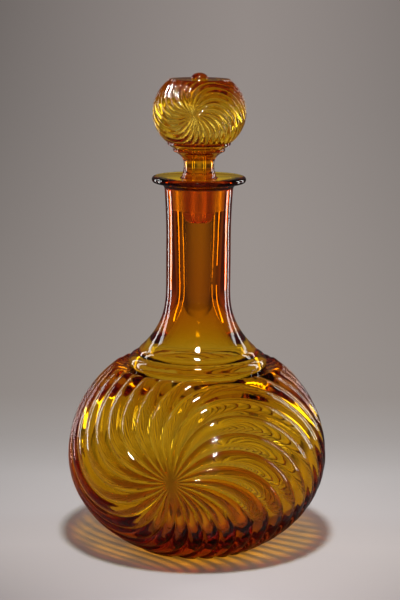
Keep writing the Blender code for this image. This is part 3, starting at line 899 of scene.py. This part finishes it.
def amber_glass(name, looks, ground_from, ground_to, gathers_under):
    """Clear amber glass, tinted in its depth, and matt where the plug and its socket are ground.

    Lamps shine straight through it, weaker in the valleys of the ribs and on steep faces, as the ribs gather
    their light in streaks.
    """
    material = bpy.data.materials.new(name)
    material.use_nodes = True
    tree = ShaderTree(material.node_tree)
    values = {
        "Waves": looks.waves,
        "Clean": looks.clean,
        "Ground": looks.ground,
        "Ground from": ground_from,
        "Ground to": ground_to,
        "Ground radius": looks.ground_radius,
    }
    worn_glass = bpy.data.node_groups.get("worn_glass") or worn_glass_group()
    finish = tree.add("ShaderNodeGroup", node_tree=worn_glass)
    tree.give(finish.inputs, values)
    shader = tree.nodes["Principled BSDF"]
    tree.give(shader.inputs, {"Base Color": (1, 1, 1, 1), "Metallic": 0, "Transmission Weight": 1})
    tree.give(shader.inputs, {"IOR": looks.ior})
    tree.give(shader.inputs, {"Roughness": finish.outputs["Roughness"], "Normal": finish.outputs["Normal"]})
    tint = tree.add("ShaderNodeVolumeAbsorption", {"Color": (*looks.stain, 1), "Density": looks.density})
    tree.give(tree.nodes["Material Output"].inputs, {"Volume": tint.outputs["Volume"]})
    valley = tree.add("ShaderNodeAttribute", attribute_name=VALLEY).outputs["Fac"]
    facing = tree.add("ShaderNodeLayerWeight", {"Blend": 0.5}).outputs["Facing"]
    place = tree.place()
    crests = tree.ranged(valley, 0.25, 0.9, CREST_LIGHT, VALLEY_LIGHT)
    slant = tree.ranged(facing, 0.15, 0.85, 1, STEEP_LIGHT)
    uneven = tree.ranged(tree.noise(place, CHANCE_SCALE, 1), 0.3, 0.7, *CHANCE_LIGHT, "LINEAR")
    let_through = tree.maths("MULTIPLY", tree.maths("MULTIPLY", crests, slant), uneven)
    low = tree.maths("LESS_THAN", tree.split(place)["Z"], gathers_under)
    passing = tree.scaled(tree.chosen(low, looks.passing_above, looks.passing), let_through)
    clear = tree.add("ShaderNodeBsdfTransparent", {"Color": passing})
    shadow_ray = tree.add("ShaderNodeLightPath").outputs["Is Shadow Ray"]
    tree.surface(shadow_ray, shader.outputs["BSDF"], clear.outputs["BSDF"])
    return material


def painted_backdrop_group(looks):
    """Group that gives the colour of the floor and backdrop at a point of the floor, with painted light and
    shade: brightest round the decanter, darker towards the camera, far off and at the sides.

    Two numbers place the point: dip, how steeply the camera looks down at it, and side, how far aside it is.
    """
    group = bpy.data.node_groups.new("painted_backdrop", "ShaderNodeTree")
    group.interface.new_socket("Colour", in_out="OUTPUT", socket_type="NodeSocketColor")
    group.interface.new_socket("Through glass", in_out="OUTPUT", socket_type="NodeSocketFloat")
    tree = ShaderTree(group)
    point = tree.turned(tree.place(), -looks.camera_turn)
    ahead = tree.maths("ADD", point["Y"], looks.camera_distance)
    away = tree.maths("MAXIMUM", ahead, looks.camera_distance * NEAREST_SHARE)
    dip = tree.maths("DIVIDE", looks.camera_height, away)
    side = tree.maths("DIVIDE", point["X"], away)
    steepness = tree.maths("DIVIDE", dip, STEEPEST_DIP)
    backdrop = tree.ramp(steepness, [(stop, (*tone, shade)) for stop, tone, shade in PAINTED_BACKDROP_STOPS])
    aside = tree.maths("ABSOLUTE", tree.maths("SUBTRACT", side, BRIGHTEST_SIDE))
    spread = tree.maths("POWER", tree.maths("DIVIDE", aside, SIDE_WIDTH), SIDE_POWER)
    # 0 near the camera, and 1 from shortly in front of the decanter
    before = tree.ranged(ahead, 0.2, looks.camera_distance * 0.88, 0, 1)
    kept = []
    for widest, darkest in (SHADE_SEEN, SHADE_THROUGH_GLASS):
        wide = tree.maths("SUBTRACT", tree.maths("MINIMUM", spread, widest), SHADE_BEHIND_CAMERA)
        wide = tree.maths("ADD", tree.maths("MULTIPLY", wide, before), SHADE_BEHIND_CAMERA)
        shade = tree.maths("MINIMUM", tree.maths("MULTIPLY", wide, backdrop["Alpha"]), darkest)
        kept.append(tree.maths("SUBTRACT", 1, shade))
    # The floor close behind the decanter keeps its own strength, and the rest is painted brighter through
    # glass, as painted light
    gains = ((0.125, looks.glass_gain), (0.145, 1), (0.25, 1), (0.29, looks.glass_gain))
    gain = tree.ramp(steepness, [(stop, (value / 2, value / 2, value / 2, 1)) for stop, value in gains])
    through = tree.maths("MULTIPLY", gain["Color"], 2)
    through = tree.maths("MULTIPLY", through, tree.maths("DIVIDE", kept[1], kept[0]))
    tree.add("NodeGroupOutput", {"Colour": tree.scaled(backdrop["Color"], kept[0]), "Through glass": through})
    return group


def seen_ray(tree):
    """1 for rays that see a surface directly, in a mirror or through glass, 0 for rays that light others."""
    rays = tree.add("ShaderNodeLightPath").outputs
    seen = tree.maths("MAXIMUM", rays["Is Camera Ray"], rays["Is Glossy Ray"])
    return tree.maths("MAXIMUM", seen, rays["Is Transmission Ray"])


def seen_strength(tree, through, mirrored):
    """Strength of the room for a ray: 1 seen directly, its own strengths through glass and in a mirror."""
    rays = tree.add("ShaderNodeLightPath").outputs
    passed = rays["Is Transmission Ray"]
    turned_back = tree.maths("MAXIMUM", tree.maths("SUBTRACT", rays["Is Glossy Ray"], passed), 0)
    glass = tree.maths("MULTIPLY", passed, through)
    mirror = tree.maths("MULTIPLY", turned_back, mirrored)
    return tree.maths("ADD", rays["Is Camera Ray"], tree.maths("ADD", glass, mirror))


def floor_material(looks):
    """Pale floor: lit by the lamps round the decanter, and farther off turning into a backdrop that glows,
    its light and shade painted in.
    """
    material = bpy.data.materials.new("pale_floor")
    material.use_nodes = True
    tree = ShaderTree(material.node_tree)
    tree.nodes.remove(tree.nodes["Principled BSDF"])
    backdrop = tree.add("ShaderNodeGroup", node_tree=painted_backdrop_group(looks)).outputs
    distance = tree.add("ShaderNodeVectorMath", {0: tree.place()}, operation="LENGTH").outputs["Value"]
    # The lit floor's paint is painted brighter or darker where it is seen through the glass or mirrored in
    # it, most under the globe: painted light
    gain = tree.ranged(distance, looks.under_radius, looks.under_end, looks.under_gain, looks.floor_gain)
    unseen = tree.maths("SUBTRACT", 1, seen_ray(tree))
    whole = tree.maths("ADD", seen_strength(tree, gain, looks.mirror_gain), unseen)
    paint = tree.scaled(backdrop["Colour"], tree.maths("MULTIPLY", whole, looks.floor_white))
    lit = tree.add("ShaderNodeBsdfDiffuse", {"Color": paint})
    # Painted light: farther off the floor glows with the painted backdrop, stronger through glass and weaker
    # in mirrors
    shown_strength = seen_strength(tree, backdrop["Through glass"], looks.mirror_gain)
    shown = tree.add("ShaderNodeEmission", {"Color": backdrop["Colour"], "Strength": shown_strength})
    far_off = tree.ranged(distance, looks.pool_radius, looks.pool_radius * 2, 0, 1)
    share_shown = tree.maths("MULTIPLY", far_off, seen_ray(tree))
    tree.surface(share_shown, lit.outputs["BSDF"], shown.outputs["Emission"])
    return material


def aimed(place, target):
    """Matrix of something at a place that looks at a target."""
    looking = (target - place).to_track_quat("-Z", "Y")
    return Matrix.Translation(place) @ looking.to_matrix().to_4x4()


def from_camera(looks, turned, distance, height):
    """A place round the decanter, by its angle from the camera's direction."""
    angle = looks.camera_turn + turned
    return Vector((math.sin(angle) * distance, -math.cos(angle) * distance, height))


def make_camera(looks):
    """The camera in front, which sees the decanter from slightly above."""
    data = bpy.data.cameras.new("camera")
    data.sensor_fit = "VERTICAL"
    data.sensor_height = 36
    data.lens = looks.lens
    data.shift_x = looks.camera_shift
    data.clip_start = 0.01
    data.clip_end = 100
    camera = bpy.data.objects.new("camera", data)
    bpy.context.scene.collection.objects.link(camera)
    place = from_camera(looks, 0, looks.camera_distance, looks.camera_height)
    look = Matrix.Rotation(looks.camera_turn, 4, "Z") @ Matrix.Rotation(QUARTER - looks.camera_dip, 4, "X")
    camera.matrix_world = Matrix.Translation(place) @ look @ Matrix.Rotation(looks.camera_roll, 4, "Z")
    bpy.context.scene.camera = camera


def make_light(name, shape, width, height, power, matrix):
    """An area light, round or with its own height, which the camera does not see."""
    data = bpy.data.lights.new(name, "AREA")
    data.shape = shape
    data.size = width
    if shape == "RECTANGLE":
        data.size_y = height
    data.energy = power
    light = bpy.data.objects.new(name, data)
    light.matrix_world = matrix
    light.visible_camera = False
    bpy.context.scene.collection.objects.link(light)
    return light


def make_lights(looks):
    """The lamp overhead, and on each side a strip and a panel.

    The strips are not seen through the glass, and the panels light nothing but what the glass shows.
    """
    place = from_camera(looks, 0, looks.lamp_front, looks.lamp_height)
    matrix = aimed(place, Vector((0, 0, looks.lamp_aim)))
    make_light("overhead_lamp", "DISK", looks.lamp_size, looks.lamp_size, looks.lamp_power, matrix)
    target = Vector((0, 0, looks.strip_height / 2))
    kinds = (
        ("strip", looks.strip_turn, looks.strip_width, looks.strip_power),
        ("panel", looks.panel_turn, looks.panel_width, looks.panel_power),
    )
    for side, side_name in ((1, "right"), (-1, "left")):
        for kind, turned, width, power in kinds:
            place = from_camera(looks, side * turned, looks.strip_distance, target.z)
            name = side_name + "_" + kind
            light = make_light(name, "RECTANGLE", width, looks.strip_height, power, aimed(place, target))
            light.visible_transmission = kind == "panel"
            light.visible_diffuse = kind == "strip"


def make_world(looks):
    """Room round the stage: a wall behind that darkens upwards, and a dark room behind the camera."""
    world = bpy.data.worlds.new("studio")
    bpy.context.scene.world = world
    world.use_nodes = True
    tree = ShaderTree(world.node_tree)
    direction = tree.turned(tree.place("Generated"), -looks.camera_turn)
    behind = tree.ranged(direction["Y"], -0.6, 0.7, ROOM_BEHIND_CAMERA, 1)
    high = tree.ranged(direction["Z"], 0, 0.8, 1, WALL_HIGH_UP)
    lit = tree.maths("MULTIPLY", behind, high)
    # The wall is painted brighter through the glass and weaker mirrored in it
    lit = tree.maths("MULTIPLY", lit, seen_strength(tree, looks.glass_gain, looks.mirror_gain))
    wall = tree.scaled(looks.wall, lit)
    room = tree.chosen(seen_ray(tree), (looks.room_light,) * 3, wall)
    tree.give(tree.nodes["Background"].inputs, {"Color": room})


def make_floor(looks):
    """The floor, wide enough to reach behind the camera and to be its own backdrop."""
    work = bmesh.new()
    bmesh.ops.create_circle(work, cap_ends=True, segments=96, radius=FLOOR_RADIUS)
    mesh = bpy.data.meshes.new("floor")
    work.to_mesh(mesh)
    work.free()
    mesh.materials.append(floor_material(looks))
    floor = bpy.data.objects.new("floor", mesh)
    bpy.context.scene.collection.objects.link(floor)


def chosen_sizes(context):
    """The swirl, the sizes of bottle and stopper, and the looks of the glass that the user has set."""
    scene = context.scene
    return scene.decanter_swirl, scene.decanter_bottle, scene.decanter_stopper, scene.decanter_glass


class DECANTER_OT_bottle(bpy.types.Operator):
    """Model the bottle and its glass"""

    bl_idname = "decanter.bottle"
    bl_label = "Bottle"

    def execute(self, context):
        swirl, bottle, stopper, looks = chosen_sizes(context)
        levels = Levels(bottle, stopper)
        ground_to = levels.dish_bottom - MOUTH_EDGE
        glass = amber_glass("bottle_amber", looks, levels.cone_foot, ground_to, looks.gather_height)
        piece = make_bottle(swirl, bottle, stopper, glass)
        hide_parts("bottle")
        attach(piece, "bottle")
        return {"FINISHED"}


class DECANTER_OT_stopper(bpy.types.Operator):
    """Model the stopper and its glass"""

    bl_idname = "decanter.stopper"
    bl_label = "Stopper"

    def execute(self, context):
        swirl, bottle, stopper, looks = chosen_sizes(context)
        levels = Levels(bottle, stopper)
        ground_from = levels.cone_foot - PLUG_END_EDGE
        glass = amber_glass("stopper_amber", looks, ground_from, levels.plug_top - PLUG_EDGE, 0)
        piece = make_stopper(swirl, bottle, stopper, glass)
        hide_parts("stopper")
        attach(piece, "stopper")
        return {"FINISHED"}


class DECANTER_OT_stage(bpy.types.Operator):
    """Set up the camera, the floor and the lights"""

    bl_idname = "decanter.stage"
    bl_label = "Stage"

    def execute(self, context):
        looks = context.scene.decanter_stage
        make_camera(looks)
        make_floor(looks)
        make_lights(looks)
        make_world(looks)
        context.scene.view_settings.view_transform = "Standard"
        context.scene.cycles.max_bounces = 24
        context.scene.cycles.transmission_bounces = 24
        context.scene.cycles.glossy_bounces = 12
        context.scene.cycles.transparent_max_bounces = 24
        context.scene.cycles.caustics_refractive = False
        context.scene.cycles.caustics_reflective = False
        return {"FINISHED"}


class DECANTER_PT_panel(bpy.types.Panel):
    """Lists what can be made"""

    bl_label = "Decanter"
    bl_idname = "DECANTER_PT_panel"
    bl_space_type = "VIEW_3D"
    bl_region_type = "UI"
    bl_category = "Decanter"

    def draw(self, context):
        for operator in OPERATORS:
            self.layout.operator(operator.bl_idname)


GROUPS = {
    "decanter_swirl": SwirlSizes,
    "decanter_bottle": BottleSizes,
    "decanter_stopper": StopperSizes,
    "decanter_glass": GlassLooks,
    "decanter_stage": StageLooks,
}
OPERATORS = (DECANTER_OT_stage, DECANTER_OT_bottle, DECANTER_OT_stopper)


def register():
    """Adds the sizes, the operators and the panel."""
    for group in GROUPS.values():
        bpy.utils.register_class(group)
    for operator in OPERATORS:
        bpy.utils.register_class(operator)
    bpy.utils.register_class(DECANTER_PT_panel)
    for name, group in GROUPS.items():
        setattr(bpy.types.Scene, name, bpy.props.PointerProperty(type=group))


def unregister():
    """Takes them away again."""
    for name in GROUPS:
        delattr(bpy.types.Scene, name)
    bpy.utils.unregister_class(DECANTER_PT_panel)
    for operator in reversed(OPERATORS):
        bpy.utils.unregister_class(operator)
    for group in reversed(GROUPS.values()):
        bpy.utils.unregister_class(group)


def main():
    """Makes the stage and both pieces."""
    register()
    bpy.ops.decanter.stage()
    bpy.ops.decanter.bottle()
    bpy.ops.decanter.stopper()


if __name__ == "__main__":
    main()
